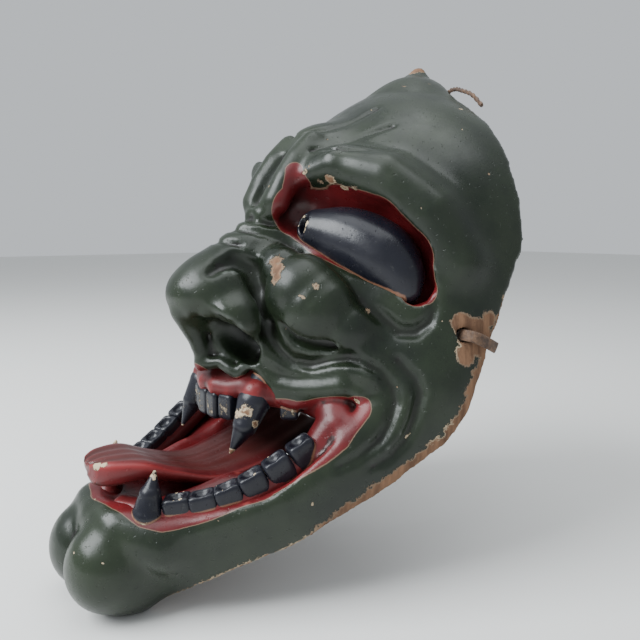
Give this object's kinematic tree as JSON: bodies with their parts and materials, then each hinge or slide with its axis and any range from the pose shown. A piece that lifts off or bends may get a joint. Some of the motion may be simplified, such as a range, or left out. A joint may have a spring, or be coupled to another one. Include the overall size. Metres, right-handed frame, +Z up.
{
  "type": "noh mask",
  "caption": "Carved and lacquered wooden demon mask with an open fanged mouth, a long tongue, bulging eyes, a pointed crown and a cleft chin.",
  "frame": {"origin": "middle of the bounding box at the level that the chin stands on", "axes": "+Z up with the mask standing on its chin and leaning back, the face looks along -Y, +X is the wearer's left and x = 0 is the plane of symmetry"},
  "size_m": [0.1882, 0.2057, 0.2501],
  "materials": {
    "green_lacquered_wood": "dark green-black lacquer, satin gloss, worn to raw wood at the rim",
    "red_lacquered_wood": "dull vermilion lacquer, satin, worn at the ridges",
    "black_lacquered_wood": "blue-black lacquer, glossy",
    "leather_cord": "dry brown hide or plant cord, matt"
  },
  "bodies": {
    "root": {"eye_left": "black_lacquered_wood", "eye_right": "black_lacquered_wood", "hanging_cord": "leather_cord", "lower_fang_left": "black_lacquered_wood", "lower_fang_right": "black_lacquered_wood", "lower_gum": "red_lacquered_wood", "lower_molar_1_left": "black_lacquered_wood", "lower_molar_1_right": "black_lacquered_wood", "lower_molar_2_left": "black_lacquered_wood", "lower_molar_2_right": "black_lacquered_wood", "lower_molar_3_left": "black_lacquered_wood", "lower_molar_3_right": "black_lacquered_wood", "lower_molar_4_left": "black_lacquered_wood", "lower_molar_4_right": "black_lacquered_wood", "lower_molar_5_left": "black_lacquered_wood", "lower_molar_5_right": "black_lacquered_wood", "lower_molar_6_left": "black_lacquered_wood", "lower_molar_6_right": "black_lacquered_wood", "mask_shell": "green_lacquered_wood", "side_tie_left": "leather_cord", "side_tie_right": "leather_cord", "tongue": "red_lacquered_wood", "upper_fang_left": "black_lacquered_wood", "upper_fang_right": "black_lacquered_wood", "upper_gum": "red_lacquered_wood", "upper_incisor_1_left": "black_lacquered_wood", "upper_incisor_1_right": "black_lacquered_wood", "upper_incisor_2_left": "black_lacquered_wood", "upper_incisor_2_right": "black_lacquered_wood", "upper_premolar_left": "black_lacquered_wood", "upper_premolar_right": "black_lacquered_wood"}
  },
  "joints": []
}
